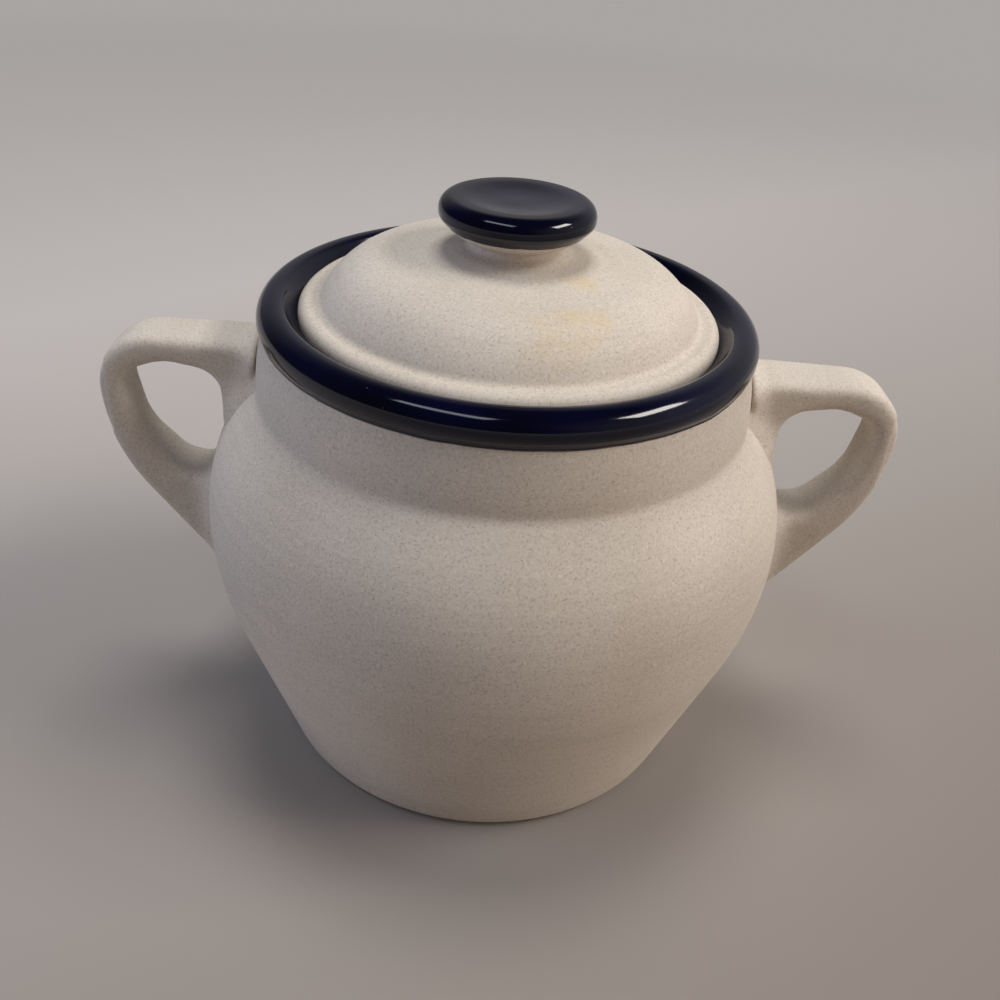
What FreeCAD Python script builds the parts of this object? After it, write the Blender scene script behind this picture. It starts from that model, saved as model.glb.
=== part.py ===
import FreeCAD, Part
import math
import os

# Stoneware bean pot with two ear handles and a loose lid that lifts straight off.
# Millimetres, +Z up. The origin is the centre of the foot, on the surface that the
# pot stands on, and the two handles lie along X.

# Foot, wall and belly of the pot
foot_radius = 67.2
foot_rounding = 6.0
foot_ring_width = 13.0
foot_recess = 1.8
belly_radius = 94.3
belly_height = 84.0
lower_wall_curve = 92.0
shoulder_curve = 60.0
wall = 6.2
floor = 7.5
inside_corner = 16.0

# Neck and rolled rim, measured over the glaze
neck_radius = 77.2
neck_height = 28.05
neck_curve = 60.0
valley_curve = 4.0
rim_radius = 76.0
roll_radius = 5.6
mouth_radius = 67.3
mouth_edge_rounding = 1.4

# Gallery, the ledge inside the rim that carries the lid
gallery_depth = 7.4
throat_radius = 58.0
ledge_thickness = 6.0
ledge_rounding = 2.2
ledge_root_curve = 5.0

# Glaze coats
glaze = 0.5
glaze_run_down = 0.4

# Ear handles, with the drop of their top below the rim
handle_root_width = 22.0
handle_tip_width = 16.5
handle_reach = 127.5
handle_drop = 18.1
handle_corner = 19.0
handle_tail_curve = 58.0
handle_tail_lean = 38.0
handle_edge_rounding = 2.8

# Finger hole of a handle: corners in from its reach and down from its top, with their
# roundings
finger_hole = [
    (39.7, 10.0, 9.0),
    (20.5, 7.2, 22.0),
    (5.1, 13.0, 8.0),
    (8.9, 34.5, 22.0),
    (21.5, 48.0, 14.0),
    (38.5, 48.0, 4.0),
]

# Lid, with its heights above the gallery
lid_side_gap = 3.5
flange_thickness = 6.7
flange_rounding = 3.2
flange_foot_rounding = 1.0
groove_radius = 57.6
groove_depth = 0.9
groove_rounding = 2.0
dome_shoulder_radius = 50.9
dome_shoulder_height = 18.2
dome_shoulder_curve = 24.0
dome_crown_height = 25.4
lid_wall = 6.0
skirt_gap = 1.6
skirt_depth = 6.0
skirt_width = 5.0
skirt_rounding = 1.5

# Knob, with its heights above the flat seat that it is luted to
knob_seat_radius = 15.5
knob_neck_radius = 13.6
knob_neck_height = 2.0
knob_neck_rounding = 1.4
knob_belly_radius = 18.4
knob_belly_height = 4.2
knob_belly_rounding = 6.0
knob_radius = 23.1
knob_underside_height = 9.2
knob_underside_rounding = 2.2
knob_glaze_radius = 22.2
knob_height = 14.9
knob_edge_rounding = 4.0
knob_crest_radius = 16.5
knob_crest_rounding = 20.0
knob_dish_radius = 8.0
knob_dish_depth = 1.2
knob_dish_rounding = 60.0


def point(r, z):
    """Point of a turned outline: r out from the axis, z above the table."""
    return FreeCAD.Vector(0, r, z)


def on_circle(centre, radius, angle):
    """Point on a circle, at an angle in degrees up from outward."""
    turn = math.radians(angle)
    return point(centre[0] + radius * math.cos(turn), centre[1] + radius * math.sin(turn))


def arc(centre, radius, start, end):
    """Arc stretch of an outline, from one angle to another."""
    return [on_circle(centre, radius, angle) for angle in (start, (start + end) / 2, end)]


def corner(r, z):
    """Sharp corner of an outline."""
    return [point(r, z)]


def sides_met(first, second):
    """Where two lines meet, each given by a point and a direction."""
    (px, pz), (dx, dz) = first
    (qx, qz), (ex, ez) = second
    step = ((qx - px) * ez - (qz - pz) * ex) / (dx * ez - dz * ex)
    return (px + dx * step, pz + dz * step)


def moved_side(start, end, cover):
    """Line through two corners, moved to its right by the cover."""
    length = math.dist(start[:2], end[:2])
    dx = (end[0] - start[0]) / length
    dz = (end[1] - start[1]) / length
    return ((start[0] + dz * cover, start[1] - dx * cover), (dx, dz))


def moved_corners(corners, cover):
    """Open run of corners (r, z, rounding), moved to its right by the cover.

    Its two end corners move square to their sides, and each rounding keeps its centre.
    """
    sides = [moved_side(a, b, cover) for a, b in zip(corners, corners[1:])]
    moved = [(*sides[0][0], 0.0)]
    for before, after, (_, _, rounding) in zip(sides, sides[1:], corners[1:]):
        (dx, dz), (ex, ez) = before[1], after[1]
        turns_left = dx * ez - dz * ex > 0
        place = sides_met(before, after)
        moved.append((*place, rounding + (cover if turns_left else -cover) if rounding else 0.0))
    last = corners[-1]
    dx, dz = sides[-1][1]
    moved.append((last[0] + dz * cover, last[1] - dx * cover, 0.0))
    return moved


def rounded(corners, closed=False):
    """Stretches of an outline through corners (r, z, rounding), each rounded by an arc."""
    count = len(corners)
    stretches = []
    for index, (r, z, rounding) in enumerate(corners):
        at_an_end = not closed and index in (0, count - 1)
        if at_an_end or rounding == 0.0:
            stretches.append(corner(r, z))
            continue
        here = point(r, z)
        back = (point(*corners[index - 1][:2]) - here).normalize()
        on = (point(*corners[(index + 1) % count][:2]) - here).normalize()
        half = back.getAngle(on) / 2
        inward = (back + on).normalize()
        centre = here + inward * (rounding / math.sin(half))
        reach = rounding / math.tan(half)
        stretches.append([here + back * reach, centre - inward * rounding, here + on * reach])
    return stretches


def backwards(stretches):
    """The same stretches, walked the other way."""
    return [stretch[::-1] for stretch in reversed(stretches)]


def face(stretches):
    """Face whose edge runs through the stretches, joined by straight lines."""
    edges = []
    for here, following in zip(stretches, stretches[1:] + stretches[:1]):
        if len(here) == 3:
            edges.append(Part.Arc(*here).toShape())
        if here[-1].distanceToPoint(following[0]) > 1e-6:
            edges.append(Part.makeLine(here[-1], following[0]))
    return Part.Face(Part.Wire(edges))


def turned(stretches):
    """Solid turned about the upright axis, with its seam at the back."""
    return face(stretches).revolve(FreeCAD.Vector(), FreeCAD.Vector(0, 0, 1), 360)


# Centres and angles of the pot's section, shared by its inside and outside
foot_centre = (foot_radius, foot_rounding)
lower_centre = (belly_radius - lower_wall_curve, belly_height)
shoulder_centre = (belly_radius - shoulder_curve, belly_height)
centres_apart = math.dist(foot_centre, lower_centre)
centres_rise = math.degrees(math.atan2(belly_height - foot_rounding, lower_centre[0] - foot_radius))
wall_lean = math.degrees(math.acos((foot_rounding - lower_wall_curve) / centres_apart)) - centres_rise
shoulder_slope = math.degrees(
    math.acos(1 - (belly_radius - neck_radius) / (shoulder_curve + valley_curve)))
valley_height = belly_height + (shoulder_curve + valley_curve) * math.sin(math.radians(shoulder_slope))
rim_height = valley_height + neck_height
valley_centre = (neck_radius + valley_curve, valley_height)
neck_centre = (neck_radius - neck_curve, valley_height)
roll_centre = (rim_radius - roll_radius, rim_height - roll_radius)
ledge_height = rim_height - gallery_depth
handle_top = rim_height - handle_drop

# Seat of the knob on the crown of the lid
crown_fall = (dome_crown_height - dome_shoulder_height) / dome_shoulder_radius
knob_seat_height = ledge_height + dome_crown_height - crown_fall * knob_seat_radius


def wall_outside():
    """Outside of the pot from its foot up to the neck."""
    return [
        arc(foot_centre, foot_rounding, -90, -wall_lean),
        arc(lower_centre, lower_wall_curve, -wall_lean, 0),
        arc(shoulder_centre, shoulder_curve, 0, shoulder_slope),
        arc(valley_centre, valley_curve, 180 + shoulder_slope, 180),
    ]


def neck_meets_roll(cover):
    """Angles, on the neck's curve and on the rim's roll, where the two meet."""
    neck, roll = neck_curve + cover, roll_radius - glaze + cover
    across, up = roll_centre[0] - neck_centre[0], roll_centre[1] - neck_centre[1]
    apart = math.hypot(across, up)
    along = (neck ** 2 - roll ** 2 + apart ** 2) / (2 * apart)
    toward = math.degrees(math.atan2(up, across))
    on_neck = toward - math.degrees(math.acos(along / neck))
    on_roll = toward - math.degrees(math.acos((along - apart) / roll))
    return on_neck, on_roll


def glaze_end():
    """Angle on the neck's curve where the rim's glaze stops."""
    return neck_meets_roll(glaze)[0] - math.degrees(glaze_run_down / neck_curve)


def rim_line(cover, start):
    """Neck, rolled rim, mouth wall and gallery to its throat, under a cover of glaze."""
    on_neck, on_roll = neck_meets_roll(cover)
    edge = mouth_edge_rounding
    across = roll_centre[0] - mouth_radius - edge
    rise = math.sqrt((roll_radius - edge) ** 2 - across ** 2)
    edge_centre = (mouth_radius + edge, roll_centre[1] + rise)
    edge_angle = math.degrees(math.atan2(rise, -across))
    return [
        arc(neck_centre, neck_curve + cover, start, on_neck),
        arc(roll_centre, roll_radius - glaze + cover, on_roll, edge_angle),
        arc(edge_centre, edge - glaze + cover, edge_angle, 180),
        corner(mouth_radius + glaze - cover, ledge_height - glaze + cover),
        arc(nose_centre(0), ledge_rounding + cover, 90, 180),
    ]


def nose_centre(drop):
    """Centre of a rounding of the gallery's nose, this far below the upper one."""
    return (throat_radius + glaze + ledge_rounding, ledge_height - glaze - ledge_rounding - drop)


def inside_line(cover):
    """Throat, underside of the ledge, wall and floor of the pot, under a cover of glaze."""
    inset = wall + cover
    nose = nose_centre(ledge_thickness - 2 * ledge_rounding)
    root_r = neck_radius - wall - ledge_root_curve
    root_drop = (ledge_rounding + ledge_root_curve) * math.sqrt(2)
    root_centre = (root_r, sum(nose) - root_drop - root_r)
    lean = math.radians(wall_lean)
    corner_z = floor + inside_corner
    wall_gap = foot_rounding - wall - inside_corner
    corner_r = foot_radius + (wall_gap + (corner_z - foot_rounding) * math.sin(lean)) / math.cos(lean)
    return [
        corner(throat_radius + glaze - cover, nose_centre(0)[1]),
        arc(nose, ledge_rounding + cover, 180, 225),
        arc(root_centre, ledge_root_curve - cover, 45, 0),
        arc(valley_centre, valley_curve + inset, 180, 180 + shoulder_slope),
        arc(shoulder_centre, shoulder_curve - inset, shoulder_slope, 0),
        arc(lower_centre, lower_wall_curve - inset, 0, -wall_lean),
        arc((corner_r, corner_z), inside_corner - cover, -wall_lean, -90),
        corner(0, floor + cover),
    ]


def pot_body():
    """Turned stoneware body: foot ring, belly, neck, rolled rim and gallery."""
    ring_inside = foot_radius - foot_ring_width
    foot = [
        corner(0, foot_recess),
        corner(ring_inside, foot_recess),
        corner(ring_inside + foot_recess, 0),
    ]
    return turned(foot + wall_outside() + rim_line(0, 0) + inside_line(0))


def rim_glaze():
    """Coat over the roll of the rim, from just below it down to the gallery."""
    start = glaze_end()
    return turned(rim_line(glaze, start) + backwards(rim_line(0, start)))


def interior_glaze():
    """Liner coat from the throat to the floor."""
    return turned(inside_line(glaze) + backwards(inside_line(0)))


def pot_filled():
    """Outer form of the pot as one filled block, to shape what is luted to it."""
    return turned([corner(0, 0)] + wall_outside() + rim_line(glaze, 0)[:2] + [corner(0, rim_height)])


def half_width(r):
    """Half of a handle's width, this far out from the pot's axis."""
    share = (r - foot_radius) / (handle_reach - foot_radius)
    return (handle_root_width + (handle_tip_width - handle_root_width) * share) / 2


def side_edges(block):
    """Edges round the two flat sides of a handle blank, apart from its buried root."""
    chosen = []
    for edge in block.Edges:
        stops = [edge.valueAt(edge.getParameterByLength(edge.Length * k / 2)) for k in (0, 1, 2)]
        on_a_side = all(abs(abs(p.x) - half_width(p.y)) < 1e-4 for p in stops)
        at_root = max(p.y for p in stops) < foot_radius + 1e-3
        if on_a_side and not at_root:
            chosen.append(edge)
    return chosen


def handle_plan(bottom):
    """Upright block with a handle's tapering outline from above."""
    near, far = half_width(foot_radius), half_width(handle_reach)
    places = [(-near, foot_radius), (near, foot_radius), (far, handle_reach), (-far, handle_reach)]
    base = [FreeCAD.Vector(x, y, bottom) for x, y in places]
    plan = Part.Face(Part.makePolygon(base + base[:1]))
    return plan.extrude(FreeCAD.Vector(0, 0, handle_top - bottom))


def handle(turn):
    """Ear handle with its finger hole, shaped to the pot and turned to its place."""
    corner_centre = (handle_reach - handle_corner, handle_top - handle_corner)
    tail_centre = (handle_reach - handle_tail_curve, corner_centre[1])
    tail_start = on_circle(tail_centre, handle_tail_curve, -handle_tail_lean)
    tail_run = tail_start.y - foot_radius
    tail_end = tail_start.z - tail_run / math.tan(math.radians(handle_tail_lean))
    outline = [
        corner(foot_radius, handle_top),
        arc(corner_centre, handle_corner, 90, 0),
        arc(tail_centre, handle_tail_curve, 0, -handle_tail_lean),
        corner(foot_radius, tail_end),
    ]
    hole = [(handle_reach - inward, handle_top - down, rounding) for inward, down, rounding in finger_hole]
    ear = face(outline).cut(face(rounded(hole, closed=True)))
    widest = max(handle_root_width, handle_tip_width)
    block = ear.extrude(FreeCAD.Vector(widest, 0, 0))
    block.translate(FreeCAD.Vector(-widest / 2, 0, 0))
    block = block.common(handle_plan(tail_end))
    soft = block.makeFillet(handle_edge_rounding, side_edges(block))
    shaped = soft.cut(pot_filled()).Solids[0]
    shaped.rotate(FreeCAD.Vector(), FreeCAD.Vector(0, 0, 1), turn)
    return shaped


def lid_top():
    """Top of the lid, from the foot of its flange in to the knob's seat."""
    flange_radius = mouth_radius - lid_side_gap
    flange_top = ledge_height + flange_thickness
    return [
        (flange_radius, ledge_height, flange_foot_rounding),
        (flange_radius, flange_top, flange_rounding),
        (groove_radius, flange_top - groove_depth, groove_rounding),
        (dome_shoulder_radius, ledge_height + dome_shoulder_height, dome_shoulder_curve),
        (knob_seat_radius, knob_seat_height, 0.0),
        (0, knob_seat_height, 0.0),
    ]


def lid_hollow():
    """Underside of the lid from the axis out to the tip of the skirt."""
    skirt_inside = throat_radius - skirt_gap - skirt_width
    return [
        (0, knob_seat_height - lid_wall, 0.0),
        (knob_seat_radius, knob_seat_height - lid_wall, 0.0),
        (skirt_inside, ledge_height + dome_shoulder_height - lid_wall - crown_fall, dome_shoulder_curve / 2),
        (skirt_inside, ledge_height - skirt_depth + skirt_rounding, 0.0),
    ]


def lid():
    """Turned lid: flange on the gallery, locating skirt, dome and the knob's flat seat."""
    skirt_radius = throat_radius - skirt_gap
    skirt_tip = ledge_height - skirt_depth
    skirt = [
        (skirt_radius - skirt_width, skirt_tip, skirt_rounding),
        (skirt_radius, skirt_tip, skirt_rounding),
        (skirt_radius, ledge_height, 0.0),
    ]
    return turned(rounded(lid_hollow()[:-1] + skirt + lid_top(), closed=True))


def lid_underside_glaze():
    """Coat over the hollow of the lid."""
    return turned(rounded(moved_corners(lid_hollow(), glaze)) + backwards(rounded(lid_hollow())))


def knob_skin():
    """Outside of the knob over its glaze, from its seat up and in to the axis."""
    crest = knob_seat_height + knob_height
    return [
        (knob_seat_radius, knob_seat_height, 0.0),
        (knob_neck_radius, knob_seat_height + knob_neck_height, knob_neck_rounding),
        (knob_belly_radius, knob_seat_height + knob_belly_height, knob_belly_rounding),
        (knob_radius, knob_seat_height + knob_underside_height, knob_underside_rounding),
        (knob_radius, crest, knob_edge_rounding),
        (knob_crest_radius, crest, knob_crest_rounding),
        (knob_dish_radius, crest - knob_dish_depth, knob_dish_rounding),
        (0, crest - knob_dish_depth, 0.0),
    ]


def knob_glazed():
    """The part of the knob's outside that is glazed, from its underside in to the axis."""
    belly, edge = knob_skin()[2:4]
    share = (knob_glaze_radius - belly[0]) / (edge[0] - belly[0])
    return [(knob_glaze_radius, belly[1] + (edge[1] - belly[1]) * share, 0.0)] + knob_skin()[3:]


def knob():
    """Turned knob with a short neck, a full underside and a dished top."""
    seat = [(0, knob_seat_height, 0.0), knob_skin()[0]]
    return turned(rounded(seat + moved_corners(knob_skin(), -glaze)[1:], closed=True))


def knob_glaze():
    """Coat over the top and the edge of the knob."""
    clay = rounded(moved_corners(knob_glazed(), -glaze))
    return turned(rounded(knob_glazed()) + backwards(clay))


pieces = {
    "pot_body": pot_body(),
    "rim_glaze": rim_glaze(),
    "interior_glaze": interior_glaze(),
    "handle_right": handle(-90),
    "handle_left": handle(90),
    "lid": lid(),
    "lid_underside_glaze": lid_underside_glaze(),
    "knob": knob(),
    "knob_glaze": knob_glaze(),
}

os.makedirs("parts", exist_ok=True)
for name, shape in pieces.items():
    shape.exportStep(f"parts/{name}.step")
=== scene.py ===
import math

import bmesh
import bpy
from mathutils import Matrix, Vector


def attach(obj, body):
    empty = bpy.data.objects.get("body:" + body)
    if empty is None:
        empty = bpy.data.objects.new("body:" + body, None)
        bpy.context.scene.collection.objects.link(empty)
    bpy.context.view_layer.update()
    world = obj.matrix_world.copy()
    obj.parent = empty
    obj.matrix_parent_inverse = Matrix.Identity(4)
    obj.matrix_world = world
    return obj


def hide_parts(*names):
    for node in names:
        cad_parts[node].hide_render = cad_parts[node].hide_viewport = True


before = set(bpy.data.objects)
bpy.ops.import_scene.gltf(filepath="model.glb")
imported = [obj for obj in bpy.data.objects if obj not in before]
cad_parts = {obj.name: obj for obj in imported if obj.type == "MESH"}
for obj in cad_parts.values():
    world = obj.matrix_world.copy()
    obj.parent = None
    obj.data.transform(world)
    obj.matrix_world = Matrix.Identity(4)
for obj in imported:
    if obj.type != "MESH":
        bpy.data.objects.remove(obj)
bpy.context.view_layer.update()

# Pot body
# A bean pot thrown in pale stoneware: foot ring, belly, neck, rolled rim and the
# gallery inside it. It is left unglazed outside, so it is dry, matte and speckled.
MM = 0.001
outline_step = 1.5
fine_step = 0.6
turns_round = 256
shortest_step = 1e-5
merge_distance = 1e-6
crease_angle = 38
ring_drift = 0.35
wanders_round = 5.0

foot_radius = 67.2
foot_rounding = 6.0
foot_ring_width = 13.0
foot_recess = 1.8
foot_recess_rounding = 0.5
belly_radius = 94.3
belly_height = 84.0
lower_wall_curve = 92.0
shoulder_curve = 60.0
wall = 6.2
floor = 7.5
inside_corner = 16.0
neck_radius = 77.2
neck_curve = 60.0
valley_curve = 4.0
neck_height = 28.05
rim_radius = 76.0
roll_radius = 5.6
mouth_radius = 67.3
mouth_edge_rounding = 1.4
gallery_depth = 7.4
throat_radius = 58.0
ledge_thickness = 6.0
ledge_rounding = 2.2
ledge_root_curve = 5.0
glaze = 0.5

foot_centre = (foot_radius, foot_rounding)
lower_centre = (belly_radius - lower_wall_curve, belly_height)
shoulder_centre = (belly_radius - shoulder_curve, belly_height)
foot_to_lower = math.dist(foot_centre, lower_centre)
foot_to_lower_rise = math.degrees(
    math.atan2(belly_height - foot_rounding, lower_centre[0] - foot_radius))
wall_lean = math.degrees(
    math.acos((foot_rounding - lower_wall_curve) / foot_to_lower)) - foot_to_lower_rise
shoulder_slope = math.degrees(
    math.acos(1 - (belly_radius - neck_radius) / (shoulder_curve + valley_curve)))
valley_height = belly_height + (shoulder_curve + valley_curve) * math.sin(math.radians(shoulder_slope))
rim_height = valley_height + neck_height
valley_centre = (neck_radius + valley_curve, valley_height)
neck_centre = (neck_radius - neck_curve, valley_height)
roll_centre = (rim_radius - roll_radius, rim_height - roll_radius)
ledge_height = rim_height - gallery_depth


def on_circle(centre, radius, angle):
    """Point of an outline on a circle, at an angle in degrees up from outward."""
    turn = math.radians(angle)
    return (centre[0] + radius * math.cos(turn), centre[1] + radius * math.sin(turn))


def arc(centre, radius, start, end, step=outline_step):
    """Points of an outline along an arc, both ends included."""
    length = abs(math.radians(end - start)) * radius
    parts = max(4, math.ceil(length / step))
    return [on_circle(centre, radius, start + (end - start) * k / parts) for k in range(parts + 1)]


def rounded(corners, closed=False, step=outline_step):
    """Points of an outline through corners (r, z, rounding), each rounded by an arc."""
    points = []
    count = len(corners)
    for index, (r, z, rounding) in enumerate(corners):
        if rounding == 0 or (not closed and index in (0, count - 1)):
            points.append((r, z))
            continue
        here = Vector((r, z))
        back = (Vector(corners[index - 1][:2]) - here).normalized()
        on = (Vector(corners[(index + 1) % count][:2]) - here).normalized()
        half = back.angle(on) / 2
        centre = here + (back + on).normalized() * (rounding / math.sin(half))
        start = here + back * (rounding / math.tan(half)) - centre
        sweep = math.copysign(math.pi - 2 * half, back.x * on.y - back.y * on.x)
        parts = max(4, math.ceil(rounding * abs(sweep) / step))
        for k in range(parts + 1):
            turn = -sweep * k / parts
            points.append((
                centre.x + start.x * math.cos(turn) - start.y * math.sin(turn),
                centre.y + start.x * math.sin(turn) + start.y * math.cos(turn)))
    return points


def evened(points, step=outline_step, closed=False):
    """The same outline with its long straight runs divided."""
    ends = points[1:] + points[:1] if closed else points[1:]
    even = []
    for here, following in zip(points, ends):
        length = math.dist(here, following)
        if length < shortest_step:
            continue
        parts = math.ceil(length / step)
        even += [tuple(a + (b - a) * k / parts for a, b in zip(here, following)) for k in range(parts)]
    return even + ([even[0]] if closed else [points[-1]])


def add_node(tree, kind, inputs=None, **settings):
    """Adds a node to a tree, with its settings, and fills or links its inputs."""
    made = tree.nodes.new(kind)
    for name, value in settings.items():
        setattr(made, name, value)
    for place, value in (inputs or {}).items():
        if isinstance(value, bpy.types.NodeSocket):
            tree.links.new(value, made.inputs[place])
        else:
            made.inputs[place].default_value = value
    return made


def thrown_tree():
    """Geometry nodes that turn an outline round the upright axis, as the wheel does.

    The wall may carry shallow throwing rings, and a glaze's edge may wander up and down.
    """
    tree = bpy.data.node_groups.new("thrown_form", "GeometryNodeTree")
    sockets = tree.interface
    sockets.new_socket(name="Outline", in_out="INPUT", socket_type="NodeSocketGeometry")
    for name, kind in (("Steps Round", "NodeSocketInt"), ("Ring Depth", "NodeSocketFloat"),
                       ("Ring Spacing", "NodeSocketFloat"), ("Edge Wander", "NodeSocketFloat"),
                       ("Seed", "NodeSocketFloat"), ("Material", "NodeSocketMaterial")):
        sockets.new_socket(name=name, in_out="INPUT", socket_type=kind)
    sockets.new_socket(name="Form", in_out="OUTPUT", socket_type="NodeSocketGeometry")

    def maths(operation, first, second=0.0):
        return add_node(tree, "ShaderNodeMath", {0: first, 1: second}, operation=operation).outputs[0]

    given = add_node(tree, "NodeGroupInput").outputs
    count = add_node(tree, "GeometryNodeAttributeDomainSize", {"Geometry": given["Outline"]})
    count = count.outputs["Point Count"]

    # A grid with a row for each step round and, in each row, the points of the outline
    rows = maths("ADD", given["Steps Round"], 1)
    grid = add_node(tree, "GeometryNodeMeshGrid", {"Vertices X": rows, "Vertices Y": count})
    index = add_node(tree, "GeometryNodeInputIndex").outputs[0]
    row = maths("FLOOR", maths("DIVIDE", maths("ADD", index, 0.5), count))
    place = maths("SUBTRACT", index, maths("MULTIPLY", row, count))
    angle = maths("DIVIDE", maths("MULTIPLY", row, math.tau), given["Steps Round"])
    cosine, sine = maths("COSINE", angle), maths("SINE", angle)

    def of_outline(name, data_type):
        """A value kept on the outline's points, read at this row's place."""
        if name == "position":
            value = add_node(tree, "GeometryNodeInputPosition").outputs[0]
        else:
            named = add_node(tree, "GeometryNodeInputNamedAttribute", {"Name": name}, data_type=data_type)
            value = named.outputs[0]
        sample = add_node(tree, "GeometryNodeSampleIndex", {
            "Geometry": given["Outline"], "Value": value, "Index": place}, data_type=data_type)
        return sample.outputs[0]

    spot = add_node(tree, "ShaderNodeSeparateXYZ", {0: of_outline("position", "FLOAT_VECTOR")}).outputs
    out = add_node(tree, "ShaderNodeSeparateXYZ", {0: of_outline("out", "FLOAT_VECTOR")}).outputs

    # Rings go into the wall, uneven along it and drifting slowly as they go round
    ring_place = add_node(tree, "ShaderNodeCombineXYZ", {
        0: maths("MULTIPLY", cosine, ring_drift), 1: maths("MULTIPLY", sine, ring_drift),
        2: maths("DIVIDE", of_outline("along", "FLOAT"), given["Ring Spacing"])}).outputs[0]
    rings = add_node(tree, "ShaderNodeTexNoise", {
        "Vector": ring_place, "W": given["Seed"], "Scale": 1.0, "Detail": 1.0},
        noise_dimensions="4D").outputs[0]
    depth = maths("MULTIPLY", maths("MULTIPLY", rings, of_outline("rings", "FLOAT")), given["Ring Depth"])

    # A glaze's edge goes up and down in waves
    edge_place = add_node(tree, "ShaderNodeCombineXYZ", {
        0: maths("MULTIPLY", cosine, wanders_round), 1: maths("MULTIPLY", sine, wanders_round)}).outputs[0]
    wander = add_node(tree, "ShaderNodeTexNoise", {
        "Vector": edge_place, "W": given["Seed"], "Scale": 1.0, "Detail": 2.0},
        noise_dimensions="4D").outputs[0]
    wander = maths("MULTIPLY", maths("SUBTRACT", wander, 0.5), of_outline("edge", "FLOAT"))
    lift = maths("MULTIPLY", wander, given["Edge Wander"])
    radius = maths("SUBTRACT", spot["X"], maths("MULTIPLY", out["X"], depth))
    height = maths("ADD", maths("SUBTRACT", spot["Z"], maths("MULTIPLY", out["Z"], depth)), lift)
    turned = add_node(tree, "ShaderNodeCombineXYZ", {
        0: maths("MULTIPLY", radius, cosine), 1: maths("MULTIPLY", radius, sine), 2: height}).outputs[0]
    placed = add_node(tree, "GeometryNodeSetPosition", {
        "Geometry": grid.outputs["Mesh"], "Position": turned}).outputs[0]

    # The seam and the points on the axis are joined, and edges without a face go
    merged = add_node(tree, "GeometryNodeMergeByDistance", {
        "Geometry": placed, "Distance": merge_distance}).outputs[0]
    faces_beside = add_node(tree, "GeometryNodeInputMeshEdgeNeighbors").outputs[0]
    whole = add_node(tree, "GeometryNodeDeleteGeometry", {
        "Geometry": merged, "Selection": maths("LESS_THAN", faces_beside, 0.5)},
        domain="EDGE", mode="EDGE_FACE").outputs[0]
    smooth = add_node(tree, "GeometryNodeSetShadeSmooth", {
        "Geometry": whole, "Shade Smooth": True}, domain="FACE").outputs[0]

    # Smooth shading breaks at the sharp corners
    bend = add_node(tree, "GeometryNodeInputMeshEdgeAngle").outputs[0]
    sharp = add_node(tree, "FunctionNodeCompare", {"A": bend, "B": math.radians(crease_angle)},
                     data_type="FLOAT", operation="GREATER_THAN").outputs[0]
    creased = add_node(tree, "GeometryNodeSetShadeSmooth", {
        "Geometry": smooth, "Selection": sharp, "Shade Smooth": False}, domain="EDGE").outputs[0]
    real = add_node(tree, "GeometryNodeRealizeInstances", {"Geometry": creased}).outputs[0]
    dressed = add_node(tree, "GeometryNodeSetMaterial", {
        "Geometry": real, "Material": given["Material"]}).outputs[0]
    add_node(tree, "NodeGroupOutput", {0: dressed})
    return tree


thrown_form = thrown_tree()


def finished(name, mesh, body, *nodes):
    """Final piece: rides on its body and stands for its solids, with their finish."""
    piece = bpy.data.objects.new(name, mesh)
    bpy.context.scene.collection.objects.link(piece)
    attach(piece, body)
    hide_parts(*nodes)


def applied(holder):
    """Mesh of an object with its modifiers applied; the object itself goes."""
    bpy.context.view_layer.update()
    graph = bpy.context.evaluated_depsgraph_get()
    mesh = bpy.data.meshes.new_from_object(holder.evaluated_get(graph))
    holder.modifiers.clear()
    bpy.data.objects.remove(holder)
    return mesh


def thrown(name, outline, material, body, node, ring_depth=0.0, ring_spacing=3.5, ring_share=None,
           edge_wander=0.0, edge_share=None, seed=1.0):
    """Piece turned from an outline of (r, z) points in millimetres.

    The shares give, for a point of the outline, how much of the rings or wander it has.
    """
    line = bpy.data.meshes.new(name + "_outline")
    spots = [(r * MM, 0.0, z * MM) for r, z in outline]
    line.from_pydata(spots, [(k, k + 1) for k in range(len(spots) - 1)], [])
    out, along, rings, edge = [], [], [], []
    walked = 0.0
    for k, (r, z) in enumerate(outline):
        before, after = outline[max(k - 1, 0)], outline[min(k + 1, len(outline) - 1)]
        run, rise = after[0] - before[0], after[1] - before[1]
        length = math.hypot(run, rise) or 1.0
        out += [rise / length, 0.0, -run / length]
        walked += math.dist(outline[max(k - 1, 0)], (r, z))
        along.append(walked)
        rings.append(ring_share(r, z) if ring_share else 0.0)
        edge.append(edge_share(r, z) if edge_share else 0.0)
    line.attributes.new("out", "FLOAT_VECTOR", "POINT").data.foreach_set("vector", out)
    for label, values in (("along", along), ("rings", rings), ("edge", edge)):
        line.attributes.new(label, "FLOAT", "POINT").data.foreach_set("value", values)
    holder = bpy.data.objects.new(name + "_holder", line)
    bpy.context.scene.collection.objects.link(holder)
    turning = holder.modifiers.new("thrown", "NODES")
    turning.node_group = thrown_form
    given = {"Steps Round": turns_round, "Ring Depth": ring_depth * MM, "Ring Spacing": ring_spacing,
             "Edge Wander": edge_wander * MM, "Seed": seed, "Material": material}
    for item in thrown_form.interface.items_tree:
        if item.in_out == "INPUT" and item.name in given:
            turning[item.identifier] = given[item.name]
    mesh = applied(holder)
    mesh.name = name
    finished(name, mesh, body, node)


def linear(code):
    """Linear colour of an sRGB hex value."""
    channels = [int(code[k:k + 2], 16) / 255 for k in (1, 3, 5)]
    return tuple(c / 12.92 if c <= 0.04045 else ((c + 0.055) / 1.055) ** 2.4 for c in channels) + (1.0,)


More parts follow.
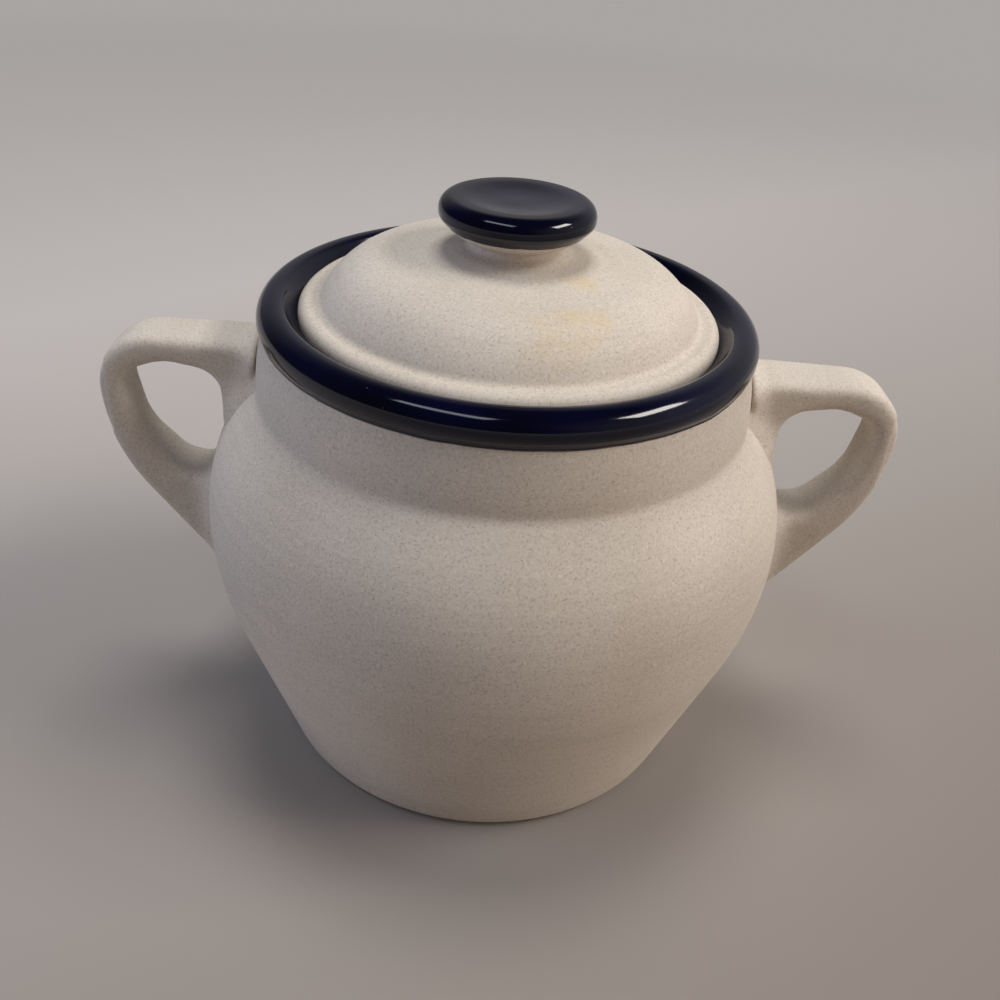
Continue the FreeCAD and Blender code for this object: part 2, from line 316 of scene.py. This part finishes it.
def bisque(name, stains=()):
    """Unglazed pale stoneware, dry and fine grained, with iron specks in the clay.

    A stain is its place and its reach, both in millimetres, and its strength.
    """
    material = bpy.data.materials.new(name)
    material.use_nodes = True
    tree = material.node_tree
    shader = tree.nodes["Principled BSDF"]
    place = add_node(tree, "ShaderNodeTexCoord").outputs["Object"]

    def noise(millimetres, detail=2.0, vector=place):
        return add_node(tree, "ShaderNodeTexNoise", {
            "Vector": vector, "Scale": 1 / (millimetres * MM), "Detail": detail}).outputs[0]

    def spread(value, low, high, to_low=0.0, to_high=1.0):
        return add_node(tree, "ShaderNodeMapRange", {
            0: value, 1: low, 2: high, 3: to_low, 4: to_high}, clamp=True).outputs[0]

    def mixed(share, first, second):
        return add_node(tree, "ShaderNodeMix", {0: share, 6: first, 7: second}, data_type="RGBA").outputs[2]

    def maths(operation, first, second=0.0):
        return add_node(tree, "ShaderNodeMath", {0: first, 1: second}, operation=operation).outputs[0]

    # Broad drift of colour from the kiln, then the grain of sand and grog, which is finer
    # in the real clay and is drawn just coarse enough to show
    colour = mixed(spread(noise(55.0), 0.35, 0.65), linear("#cac2b6"), linear("#d4ccc1"))
    colour = mixed(spread(noise(0.7, 1.0), 0.50, 0.74, 0.0, 0.38), colour, linear("#8f8478"))
    colour = mixed(spread(noise(0.9, 1.0), 0.55, 0.76, 0.0, 0.35), colour, linear("#efe6d8"))

    # Iron specks: one small dark dot in some of the cells, at two sizes
    for cell, size, share_with, dark in ((1.3, 0.17, 0.55, "#83776a"), (9.0, 0.035, 0.7, "#54463a")):
        cells = add_node(tree, "ShaderNodeTexVoronoi", {
            "Vector": place, "Scale": 1 / (cell * MM)})
        dot = spread(cells.outputs["Distance"], size, size * 0.55)
        kept = add_node(tree, "ShaderNodeSeparateColor", {0: cells.outputs["Color"]}).outputs[0]
        kept = maths("GREATER_THAN", kept, share_with)
        colour = mixed(maths("MULTIPLY", maths("MULTIPLY", dot, kept), 0.75), colour, linear(dark))

    # Throwing rings, read along the wall by its distance out and its height
    split = add_node(tree, "ShaderNodeSeparateXYZ", {0: place}).outputs
    squares = [maths("MULTIPLY", split[axis], split[axis]) for axis in (0, 1)]
    radius = maths("SQRT", maths("ADD", *squares))
    ring_place = add_node(tree, "ShaderNodeCombineXYZ", {
        0: radius, 1: split[2], 2: maths("MULTIPLY", split[0], 0.05)}).outputs[0]
    rings = noise(3.2, 1.5, ring_place)
    colour = mixed(spread(rings, 0.45, 0.72, 0.0, 0.10), colour, linear("#a59a8c"))

    # Faint straw-coloured cooking stains with ragged edges
    for (x, y, z), reach, strength in stains:
        away = add_node(tree, "ShaderNodeVectorMath", {0: place, 1: (x * MM, y * MM, z * MM)},
                        operation="DISTANCE").outputs["Value"]
        raggedness = 0.45 * reach * MM
        ragged = maths("ADD", away, spread(noise(7.0, 3.0), 0.2, 0.8, -raggedness, raggedness))
        share = spread(ragged, reach * MM, 0.15 * reach * MM, 0.0, strength)
        colour = mixed(share, colour, linear("#d2b981"))

    tree.links.new(colour, shader.inputs["Base Color"])
    shader.inputs["IOR"].default_value = 1.5
    dryness = spread(noise(0.9, 2.0), 0.3, 0.7, 0.72, 0.9)
    tree.links.new(dryness, shader.inputs["Roughness"])
    grain = add_node(tree, "ShaderNodeBump", {
        "Height": noise(0.7, 2.0), "Strength": 0.35, "Distance": 0.12 * MM}).outputs[0]
    ringed = add_node(tree, "ShaderNodeBump", {
        "Height": rings, "Strength": 0.25, "Distance": 0.35 * MM, "Normal": grain}).outputs[0]
    tree.links.new(ringed, shader.inputs["Normal"])
    return material


def wall_outside():
    """Outside of the pot from its foot up to the neck."""
    return (arc(foot_centre, foot_rounding, -90, -wall_lean, step=0.8)
            + arc(lower_centre, lower_wall_curve, -wall_lean, 0)
            + arc(shoulder_centre, shoulder_curve, 0, shoulder_slope)
            + arc(valley_centre, valley_curve, 180 + shoulder_slope, 180, step=fine_step))


def neck_meets_roll(cover):
    """Angles, on the neck's curve and on the rim's roll, where the two meet."""
    neck, roll = neck_curve + cover, roll_radius - glaze + cover
    across, up = roll_centre[0] - neck_centre[0], roll_centre[1] - neck_centre[1]
    apart = math.hypot(across, up)
    along = (neck ** 2 - roll ** 2 + apart ** 2) / (2 * apart)
    toward = math.degrees(math.atan2(up, across))
    on_neck = toward - math.degrees(math.acos(along / neck))
    on_roll = toward - math.degrees(math.acos((along - apart) / roll))
    return on_neck, on_roll


def rim_line(cover, start, step=0.7):
    """Neck, rolled rim, mouth wall and gallery to its throat, under a cover of glaze."""
    on_neck, on_roll = neck_meets_roll(cover)
    edge = mouth_edge_rounding
    across = roll_centre[0] - mouth_radius - edge
    rise = math.sqrt((roll_radius - edge) ** 2 - across ** 2)
    edge_centre = (mouth_radius + edge, roll_centre[1] + rise)
    edge_angle = math.degrees(math.atan2(rise, -across))
    gallery_root = (mouth_radius + glaze - cover, ledge_height - glaze + cover)
    return (arc(neck_centre, neck_curve + cover, start, on_neck, step)
            + arc(roll_centre, roll_radius - glaze + cover, on_roll, edge_angle, step)
            + arc(edge_centre, edge - glaze + cover, edge_angle, 180, step)
            + [gallery_root]
            + arc(nose_centre(0), ledge_rounding + cover, 90, 180, step))


def nose_centre(drop):
    """Centre of a rounding of the gallery's nose, this far below the upper one."""
    return (throat_radius + glaze + ledge_rounding, ledge_height - glaze - ledge_rounding - drop)


def inside_line(cover):
    """Throat, underside of the ledge, wall and floor of the pot, under a cover of glaze."""
    inset = wall + cover
    nose = nose_centre(ledge_thickness - 2 * ledge_rounding)
    root_r = neck_radius - wall - ledge_root_curve
    root_drop = (ledge_rounding + ledge_root_curve) * math.sqrt(2)
    root_centre = (root_r, sum(nose) - root_drop - root_r)
    lean = math.radians(wall_lean)
    corner_z = floor + inside_corner
    wall_gap = foot_rounding - wall - inside_corner
    corner_r = foot_radius + (wall_gap + (corner_z - foot_rounding) * math.sin(lean)) / math.cos(lean)
    return ([(throat_radius + glaze - cover, nose_centre(0)[1])]
            + arc(nose, ledge_rounding + cover, 180, 225, step=fine_step)
            + arc(root_centre, ledge_root_curve - cover, 45, 0, step=fine_step)
            + arc(valley_centre, valley_curve + inset, 180, 180 + shoulder_slope)
            + arc(shoulder_centre, shoulder_curve - inset, shoulder_slope, 0)
            + arc(lower_centre, lower_wall_curve - inset, 0, -wall_lean)
            + arc((corner_r, corner_z), inside_corner - cover, -wall_lean, -90)
            + [(0, floor + cover)])


pot_stoneware = bisque("unglazed_stoneware_pot")
ring_inside = foot_radius - foot_ring_width
pot_outline = evened(
    rounded([(0, foot_recess, 0), (ring_inside, foot_recess, foot_recess_rounding),
             (ring_inside + foot_recess, 0, foot_recess_rounding), (foot_radius, 0, 0)], step=0.4)
    + wall_outside() + rim_line(0, 0) + inside_line(0))
thrown("stoneware_body", pot_outline, pot_stoneware, "pot", "pot_body")

# Rim glaze
# Deep cobalt gloss glaze brushed over the rolled rim and down into the gallery. It
# melts to a smooth thick coat whose lower edge stops in a soft, slightly wavy line.
glaze_run_down = 0.4
rim_edge_reach = 2.0
rim_edge_wander = 1.6
outside_margin = 3.0
melting_passes = 10

# How far the hidden side of a coat goes into the clay, in millimetres, and on past the
# coat's edge, in degrees
sunk = 0.08
hidden_overlap = 0.4


def cobalt(name):
    """Cobalt gloss glaze: a dark blue glass, smooth but softly uneven, with a few pits."""
    material = bpy.data.materials.new(name)
    material.use_nodes = True
    tree = material.node_tree
    shader = tree.nodes["Principled BSDF"]
    place = add_node(tree, "ShaderNodeTexCoord").outputs["Object"]
    drift = add_node(tree, "ShaderNodeTexNoise", {
        "Vector": place, "Scale": 1 / (22 * MM), "Detail": 2.0}).outputs[0]
    colour = add_node(tree, "ShaderNodeValToRGB", {0: drift})
    for stop, at, code in zip(colour.color_ramp.elements, (0.3, 0.8), ("#01010e", "#040628")):
        stop.position = at
        stop.color = linear(code)
    cells = add_node(tree, "ShaderNodeTexVoronoi", {"Vector": place, "Scale": 1 / (5 * MM)})
    pit = add_node(tree, "ShaderNodeMapRange", {
        0: cells.outputs["Distance"], 1: 0.05, 2: 0.02}, clamp=True).outputs[0]
    speckled = add_node(tree, "ShaderNodeMix", {0: pit, 6: colour.outputs[0], 7: linear("#3a3c50")},
                        data_type="RGBA").outputs[2]
    tree.links.new(speckled, shader.inputs["Base Color"])
    shader.inputs["IOR"].default_value = 1.5
    gloss = add_node(tree, "ShaderNodeMapRange", {
        0: drift, 1: 0.3, 2: 0.7, 3: 0.08, 4: 0.12}, clamp=True).outputs[0]
    tree.links.new(gloss, shader.inputs["Roughness"])
    pull = add_node(tree, "ShaderNodeTexNoise", {
        "Vector": place, "Scale": 1 / (8 * MM), "Detail": 0.0}).outputs[0]
    swell = add_node(tree, "ShaderNodeBump", {
        "Height": pull, "Strength": 0.4, "Distance": 0.12 * MM}).outputs[0]
    pitted = add_node(tree, "ShaderNodeBump", {
        "Height": pit, "Strength": 0.5, "Distance": 0.1 * MM, "Normal": swell}, invert=True).outputs[0]
    tree.links.new(pitted, shader.inputs["Normal"])
    return material


def melted(points, passes):
    """The same run of points with its corners softened, as a glaze flows over them."""
    for _ in range(passes):
        middle = [tuple((a + 2 * b + c) / 4 for a, b, c in zip(*three))
                  for three in zip(points, points[1:], points[2:])]
        points = [points[0]] + middle + [points[-1]]
    return points


cobalt_glaze = cobalt("cobalt_gloss_glaze")
glaze_start = neck_meets_roll(glaze)[0] - math.degrees(glaze_run_down / neck_curve)
rim_coat = rim_line(glaze, glaze_start, step=0.45)
rim_clay = rim_line(-sunk, glaze_start - hidden_overlap, step=0.9)
rim_outline = evened(melted(rim_coat, melting_passes) + rim_clay[::-1], step=0.8, closed=True)
glaze_edge_height = rim_coat[0][1]


def near_rim_edge(r, z):
    """How much a point of the rim's coat goes with its lower edge."""
    outside = 1.0 if r > neck_radius - outside_margin else 0.0
    return outside * max(0.0, 1 - abs(z - glaze_edge_height) / rim_edge_reach)


thrown("rim_cobalt_glaze", rim_outline, cobalt_glaze, "pot", "rim_glaze",
       edge_wander=rim_edge_wander, edge_share=near_rim_edge, seed=4.0)

# Liner
# The same cobalt glaze, poured round the inside of the pot and out again, so that food
# does not soak into the clay. It runs from the throat down over the floor.
liner_outline = evened(inside_line(glaze) + inside_line(-sunk)[::-1], closed=True)
thrown("liner_glaze", liner_outline, cobalt_glaze, "pot", "interior_glaze")

# Ear handles
# Two pulled straps bent into ears and luted to the shoulder and neck with slip. The
# joint is wiped round with a finger, which leaves a soft fillet all round the root.
lute_radius = 8.0
lute_rise = 5.0
root_depth = 4.0
remesh_size = 0.8
softening_passes = 14
strap_fullness = 0.45
strap_reach = 127.5
strap_tip = 3.0
bend_start = 96.0
bend_length = 15.0
bend_fullness = 1.4
valley_blend = 4.0

# How near the wall a point counts as on it or beside it, and how deep the wiped edge of
# the fillet goes into the wall
on_the_wall = 0.05
near_the_wall = 0.5
skirt_sunk = 1.5

# Limits of the fillet's slope and of the direction it spreads in, and the wiping
steepest_fillet = 0.98
least_sideways = 0.3
wiping_passes = 6


def above_wall(place):
    """Height of a place above the pot's wall, in millimetres, and the wall's outward direction."""
    x, y, z = place
    r = math.hypot(x, y)
    if z < belly_height:
        centres = [(lower_centre, lower_wall_curve)]
    else:
        centres = [(shoulder_centre, shoulder_curve), (neck_centre, neck_curve)]
    height = min(math.dist(centre, (r, z)) - radius for centre, radius in centres)
    outward = Vector((0.0, 0.0, 0.0))
    for centre, radius in centres:
        away = math.dist(centre, (r, z))
        weight = math.exp((height - (away - radius)) / valley_blend) / away
        out_r, out_z = (r - centre[0]) * weight, (z - centre[1]) * weight
        outward += Vector((x / r * out_r, y / r * out_r, out_z))
    return height, outward.normalized()


def luted_handle(name, node, material):
    """Ear handle with softened edges and a wiped fillet where it meets the pot."""
    holder = bpy.data.objects.new(name + "_holder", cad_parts[node].data.copy())
    bpy.context.scene.collection.objects.link(holder)
    shell = bmesh.new()
    shell.from_mesh(holder.data)
    bmesh.ops.remove_doubles(shell, verts=shell.verts, dist=merge_distance)

    # The end of the strap is carried into the wall, so that no gap shows at its root
    for vertex in shell.verts:
        height, outward = above_wall(vertex.co / MM)
        if height < on_the_wall:
            vertex.co -= outward * root_depth * MM
    shell.to_mesh(holder.data)
    shell.free()
    remesh = holder.modifiers.new("even", "REMESH")
    remesh.mode = "VOXEL"
    remesh.voxel_size = remesh_size * MM
    soften = holder.modifiers.new("soften", "SMOOTH")
    soften.factor = 0.5
    soften.iterations = softening_passes
    mesh = applied(holder)
    mesh.name = name
    mesh.materials.clear()
    mesh.materials.append(material)
    work = bmesh.new()
    work.from_mesh(mesh)
    work.normal_update()

    # The strap fills out a little, and swells sideways into a fillet near the wall
    moves = []
    for vertex in work.verts:
        place = vertex.co / MM
        height, outward = above_wall(place)
        facing_in = max(0.0, -vertex.normal.x * math.copysign(1.0, place.x))
        at_bend = min(max((abs(place.x) - bend_start) / bend_length, 0.0), 1.0)
        full = vertex.normal * (strap_fullness * (abs(place.x) < strap_reach - strap_tip)
                                + bend_fullness * facing_in * at_bend)
        sideways = vertex.normal - outward * vertex.normal.dot(outward)
        if sideways.length < least_sideways:
            moves.append(full * MM)
            continue
        sideways.normalize()
        fillet = lute_radius + (lute_rise - lute_radius) * max(0.0, sideways.z)
        reach = 1 - max(0.0, height) / fillet
        swell = fillet * (1 - math.sqrt(1 - min(max(reach, 0.0), steepest_fillet) ** 2))
        moves.append((full + sideways * swell) * MM)
    for vertex, move in zip(work.verts, moves):
        in_the_wall = above_wall(vertex.co / MM)[0] < near_the_wall
        vertex.co += move
        height, outward = above_wall(vertex.co / MM)
        if in_the_wall and height > -skirt_sunk:
            vertex.co -= outward * (height + skirt_sunk) * MM
    fillet_zone = [v for v in work.verts if -near_the_wall < above_wall(v.co / MM)[0] < lute_radius]
    for _ in range(wiping_passes):
        bmesh.ops.smooth_vert(work, verts=fillet_zone, factor=0.5,
                              use_axis_x=True, use_axis_y=True, use_axis_z=True)
    for polygon in work.faces:
        polygon.smooth = True
    work.to_mesh(mesh)
    work.free()
    finished(name, mesh, "pot", node)


luted_handle("ear_handle_right", "handle_right", pot_stoneware)
luted_handle("ear_handle_left", "handle_left", pot_stoneware)

# Lid
# Thrown and turned in the same clay: a flat flange that lies on the gallery, a skirt
# that keeps it from sliding, and a dome with faint rings round the knob.
lid_side_gap = 3.5
flange_thickness = 6.7
flange_rounding = 3.2
flange_foot_rounding = 1.0
groove_radius = 57.6
groove_depth = 0.9
groove_rounding = 2.0
dome_shoulder_radius = 50.9
dome_shoulder_height = 18.2
dome_shoulder_curve = 24.0
dome_crown_height = 25.4
lid_wall = 6.0
skirt_gap = 1.6
skirt_depth = 6.0
skirt_width = 5.0
skirt_rounding = 1.5
knob_seat_radius = 15.5
dome_ring_depth = 0.8
rings_end = 46.0
rings_fade_out = 14.0
rings_fade_in = 3.0

crown_fall = (dome_crown_height - dome_shoulder_height) / dome_shoulder_radius
knob_seat_height = ledge_height + dome_crown_height - crown_fall * knob_seat_radius
flange_radius = mouth_radius - lid_side_gap
flange_top = ledge_height + flange_thickness
skirt_radius = throat_radius - skirt_gap
skirt_tip = ledge_height - skirt_depth
lid_top = [
    (flange_radius, ledge_height, flange_foot_rounding),
    (flange_radius, flange_top, flange_rounding),
    (groove_radius, flange_top - groove_depth, groove_rounding),
    (dome_shoulder_radius, ledge_height + dome_shoulder_height, dome_shoulder_curve),
    (knob_seat_radius, knob_seat_height, 0.0),
    (0, knob_seat_height, 0.0),
]
lid_hollow = [
    (0, knob_seat_height - lid_wall, 0.0),
    (knob_seat_radius, knob_seat_height - lid_wall, 0.0),
    (skirt_radius - skirt_width, ledge_height + dome_shoulder_height - lid_wall - crown_fall,
     dome_shoulder_curve / 2),
    (skirt_radius - skirt_width, skirt_tip + skirt_rounding, 0.0),
]
skirt = [
    (skirt_radius - skirt_width, skirt_tip, skirt_rounding),
    (skirt_radius, skirt_tip, skirt_rounding),
    (skirt_radius, ledge_height, 0.0),
]


def on_the_dome(r, z):
    """How much of the throwing rings a point of the lid shows: most near the knob."""
    under_the_top = knob_seat_height - crown_fall * (r - knob_seat_radius) - lid_wall / 2
    if z < under_the_top:
        return 0.0
    return max(0.0, min(1.0, (rings_end - r) / rings_fade_out, (r - knob_seat_radius) / rings_fade_in))


# Cooking stains on the front of the dome, right of the middle
stain_spots = [
    ((11.5, -42.5, 159.0), 12.0, 0.55),
    ((20.5, -38.0, 161.0), 9.0, 0.5),
    ((19.0, -18.5, 168.3), 7.0, 0.45),
]
lid_stoneware = bisque("unglazed_stoneware_lid", stain_spots)
lid_line = rounded(lid_hollow[:-1] + skirt + lid_top, step=0.8)
thrown("lid_dome", evened(lid_line, step=1.0), lid_stoneware, "lid", "lid",
       ring_depth=dome_ring_depth, ring_spacing=3.4, ring_share=on_the_dome, seed=7.0)

# Lid liner
# The hollow of the lid has the same cobalt glaze, brushed over the clay from the
# middle down to the tip of the skirt.
liner_hollow = [
    (0, lid_hollow[0][1] - glaze, 0.0),
    (knob_seat_radius, lid_hollow[1][1] - glaze, 0.0),
    (lid_hollow[2][0] - glaze, lid_hollow[2][1] - glaze, dome_shoulder_curve / 2 - glaze),
    (lid_hollow[3][0] - glaze, lid_hollow[3][1], 0.0),
]
hollow_clay = [(r + sunk, z + sunk, rounding) for r, z, rounding in lid_hollow]
hollow_clay[0] = (0, hollow_clay[0][1], 0.0)
lid_liner = evened(rounded(liner_hollow) + rounded(hollow_clay)[::-1], closed=True)
thrown("lid_liner_glaze", lid_liner, cobalt_glaze, "lid", "lid_underside_glaze")

# Knob
# A small turned disc on a short neck, luted to the flat on top of the lid. Its neck
# and the inner part of its underside are bare clay, and the rest is glazed.
knob_neck_radius = 13.6
knob_neck_height = 2.0
knob_neck_rounding = 1.4
knob_belly_radius = 18.4
knob_belly_height = 4.2
knob_belly_rounding = 6.0
knob_radius = 23.1
knob_underside_height = 9.2
knob_underside_rounding = 2.2
knob_glaze_radius = 20.6
knob_height = 14.9
knob_edge_rounding = 4.0
knob_crest_radius = 16.5
knob_crest_rounding = 20.0
knob_dish_radius = 8.0
knob_dish_depth = 1.2
knob_dish_rounding = 60.0
slip_spread = 1.6
slip_thickness = 0.3
slip_rise = 0.6
slip_rounding = 1.4
slip_middle_sunk = 0.4
slip_edge_sunk = 0.6

crest = knob_seat_height + knob_height


def knob_skin(inset):
    """Outside of the knob, set back from its glazed form by the inset."""
    top = crest - inset
    edge = knob_radius - inset
    return [
        (knob_neck_radius, knob_seat_height + knob_neck_height + inset, knob_neck_rounding),
        (knob_belly_radius, knob_seat_height + knob_belly_height + inset, knob_belly_rounding),
        (edge, knob_seat_height + knob_underside_height + inset, knob_underside_rounding - inset),
        (edge, top, knob_edge_rounding - inset),
        (knob_crest_radius, top, knob_crest_rounding),
        (knob_dish_radius, top - knob_dish_depth, knob_dish_rounding),
        (0, top - knob_dish_depth, 0.0),
    ]


# Slip wiped round the knob's foot: it spreads past the seat and feathers into the dome
knob_foot = [
    (0, knob_seat_height - slip_middle_sunk, 0.0),
    (knob_seat_radius + slip_spread, knob_seat_height - slip_edge_sunk, 0.0),
    (knob_neck_radius + slip_thickness, knob_seat_height + slip_rise, slip_rounding),
]
bare_knob = evened(rounded(knob_foot + knob_skin(glaze), step=0.5), step=0.8)
thrown("pinch_knob", bare_knob, lid_stoneware, "lid", "knob")

# Knob glaze
# The top and edge are dipped upside down in the cobalt glaze. The dip line runs round
# the underside, a little in from the widest part.
dip_reach = 2.0
dip_wander = 0.5
dip_margin = 1.0
dip_setback = 0.2
belly_corner, edge_corner = knob_skin(0)[1:3]
dip_share = (knob_glaze_radius - belly_corner[0]) / (edge_corner[0] - belly_corner[0])
dip_line = (knob_glaze_radius, belly_corner[1] + (edge_corner[1] - belly_corner[1]) * dip_share, 0.0)
dip_clay = (knob_glaze_radius + dip_setback, dip_line[1] + glaze + sunk, 0.0)
knob_coat = rounded([dip_line] + knob_skin(0)[2:], step=0.4)
knob_clay = rounded([dip_clay] + knob_skin(glaze + sunk)[2:], step=0.6)


def near_dip_line(r, z):
    """How much a point of the knob's coat goes with its dip line."""
    if r <= knob_glaze_radius - dip_margin or z >= dip_line[1] + dip_reach:
        return 0.0
    return 1 - (z - dip_line[1]) / dip_reach


knob_outline = evened(knob_coat + knob_clay[::-1], step=0.8, closed=True)
thrown("knob_cobalt_glaze", knob_outline, cobalt_glaze, "lid", "knob_glaze",
       edge_wander=dip_wander, edge_share=near_dip_line, seed=11.0)

# Studio
# A pale tabletop, its colour painted darker towards the front and the right as painted shade,
# under soft light: a warm key high on the right, a cool strip above left and a broad lamp
# overhead, with low fills from the right, the front and the left.
# Painted shade: the tabletop's colour runs from a dark tone at the front and on the right to a pale one
# behind, standing in for the shade that falls there
painted_shade_lean = 0.7
painted_shade_near_edge, painted_shade_far_edge = -0.3, 0.5
haze_start, haze_full = 0.35, 1.6
floor_reach = 9.0
lamp_aim = Vector((0, 0, 0.12))
tabletop = bpy.data.materials.new("pale_tabletop_with_painted_shade")
tabletop.use_nodes = True
paper = tabletop.node_tree
paper_shader = paper.nodes["Principled BSDF"]
paper_place = add_node(paper, "ShaderNodeTexCoord").outputs["Object"]
paper_spot = add_node(paper, "ShaderNodeSeparateXYZ", {0: paper_place}).outputs
painted_shade_leant = add_node(paper, "ShaderNodeMath", {
    0: paper_spot[0], 1: painted_shade_lean}, operation="MULTIPLY").outputs[0]
painted_shade_axis = add_node(paper, "ShaderNodeMath", {
    0: paper_spot[1], 1: painted_shade_leant}, operation="SUBTRACT").outputs[0]
unshaded_share = add_node(paper, "ShaderNodeMapRange", {
    0: painted_shade_axis, 1: painted_shade_near_edge, 2: painted_shade_far_edge}, clamp=True).outputs[0]
paper_drift = add_node(paper, "ShaderNodeTexNoise", {
    "Vector": paper_place, "Scale": 2.5, "Detail": 2.0}).outputs[0]
painted_shade_near = add_node(paper, "ShaderNodeMix", {
    0: paper_drift, 6: linear("#7d756e"), 7: linear("#837b74")}, data_type="RGBA").outputs[2]
# The dark near tone mixed in here is painted shade, not a colour of the paper
paper_with_painted_shade = add_node(paper, "ShaderNodeMix", {
    0: unshaded_share, 6: painted_shade_near, 7: linear("#c4c0be")}, data_type="RGBA").outputs[2]
paper.links.new(paper_with_painted_shade, paper_shader.inputs["Base Color"])
far_away = add_node(paper, "ShaderNodeVectorMath", {0: paper_place}, operation="LENGTH").outputs["Value"]
far_share = add_node(paper, "ShaderNodeMapRange", {
    0: far_away, 1: haze_start, 2: haze_full}, clamp=True).outputs[0]
rays = add_node(paper, "ShaderNodeLightPath").outputs
seen = rays["Is Camera Ray"]
for ray in ("Is Glossy Ray", "Is Transmission Ray"):
    seen = add_node(paper, "ShaderNodeMath", {0: seen, 1: rays[ray]}, operation="MAXIMUM").outputs[0]
seen_far = add_node(paper, "ShaderNodeMath", {0: seen, 1: far_share}, operation="MULTIPLY").outputs[0]
haze = add_node(paper, "ShaderNodeEmission", {"Color": linear("#a9a5a3"), "Strength": 1.0}).outputs[0]
paper_end = add_node(paper, "ShaderNodeMixShader", {
    0: seen_far, 1: paper_shader.outputs[0], 2: haze}).outputs[0]
paper.links.new(paper_end, paper.nodes["Material Output"].inputs["Surface"])
paper_shader.inputs["Roughness"].default_value = 0.85
floor_mesh = bpy.data.meshes.new("tabletop")
floor_corners = [(x * floor_reach, y * floor_reach, 0) for x, y in ((-1, -1), (1, -1), (1, 1), (-1, 1))]
floor_mesh.from_pydata(floor_corners, [], [(0, 1, 2, 3)])
floor_mesh.materials.append(tabletop)
floor_object = bpy.data.objects.new("tabletop", floor_mesh)
bpy.context.scene.collection.objects.link(floor_object)


def lamp(name, toward, distance, size, watts, colour, seen_in_gloss=True):
    """Rectangular soft lamp that faces the middle of the pot."""
    data = bpy.data.lights.new(name, "AREA")
    data.shape = "RECTANGLE"
    data.size, data.size_y = size
    data.energy = watts
    data.color = linear(colour)[:3]
    made = bpy.data.objects.new(name, data)
    direction = Vector(toward).normalized()
    made.location = lamp_aim + direction * distance
    made.rotation_euler = direction.to_track_quat("Z", "Y").to_euler()
    made.visible_glossy = seen_in_gloss
    bpy.context.scene.collection.objects.link(made)


lamp("key_right", (0.70, -0.10, 0.68), 2.2, (1.0, 0.45), 21.0, "#fff7f0")
lamp("right_fill", (0.95, -0.18, 0.26), 2.2, (1.0, 0.8), 12.0, "#fff0e4", seen_in_gloss=False)
lamp("front_fill", (0.30, -0.90, 0.12), 2.4, (1.6, 1.2), 3.5, "#ffc890", seen_in_gloss=False)
lamp("left_above", (-0.30, -0.36, 0.90), 2.2, (1.3, 0.35), 6.0, "#eef2ff")
lamp("overhead", (0.0, 0.14, 0.99), 2.2, (0.9, 0.9), 26.0, "#fffcf8", seen_in_gloss=False)
lamp("left_fill", (-0.98, -0.12, 0.20), 2.4, (1.6, 1.2), 18.0, "#d6e2ff", seen_in_gloss=False)

# The room is dark in front and overhead, and paler low down behind and on the right
room_lean = 1.2
room_dark, room_pale = -0.6, 0.9
room_top, room_low = 0.85, 0.45
world = bpy.data.worlds.new("studio_room")
bpy.context.scene.world = world
world.use_nodes = True
room = world.node_tree
background = room.nodes["Background"]
room_place = add_node(room, "ShaderNodeTexCoord").outputs["Generated"]
room_spot = add_node(room, "ShaderNodeSeparateXYZ", {0: room_place}).outputs
to_the_right = add_node(room, "ShaderNodeMath", {
    0: room_spot[0], 1: room_lean}, operation="MULTIPLY").outputs[0]
aside = add_node(room, "ShaderNodeMath", {
    0: room_spot[1], 1: to_the_right}, operation="ADD").outputs[0]
behind = add_node(room, "ShaderNodeMapRange", {
    0: aside, 1: room_dark, 2: room_pale}, clamp=True).outputs[0]
low = add_node(room, "ShaderNodeMapRange", {
    0: room_spot[2], 1: room_top, 2: room_low}, clamp=True).outputs[0]
lit = add_node(room, "ShaderNodeMath", {0: behind, 1: low}, operation="MULTIPLY").outputs[0]
shade = add_node(room, "ShaderNodeMix", {0: lit, 6: linear("#343438"), 7: linear("#959395")},
                 data_type="RGBA").outputs[2]
room.links.new(shade, background.inputs["Color"])
background.inputs["Strength"].default_value = 1.0

# The camera's place and directions, in metres
camera_place = (-0.00654, -0.28800, 0.27121)
camera_right = Vector((0.99732, 0.01728, 0.07105))
camera_up = Vector((-0.06884, 0.54952, 0.83264))
camera_forward = Vector((0.02465, 0.83530, -0.54924))
camera_data = bpy.data.cameras.new("camera")
camera_data.sensor_width = 36.0
camera_data.lens = 36.0
camera_data.clip_start = 0.01
camera = bpy.data.objects.new("camera", camera_data)
camera_turn = Matrix((camera_right, camera_up, -camera_forward)).transposed().to_4x4()
camera.matrix_world = Matrix.Translation(camera_place) @ camera_turn
bpy.context.scene.collection.objects.link(camera)
bpy.context.scene.camera = camera
bpy.context.scene.view_settings.view_transform = "Standard"
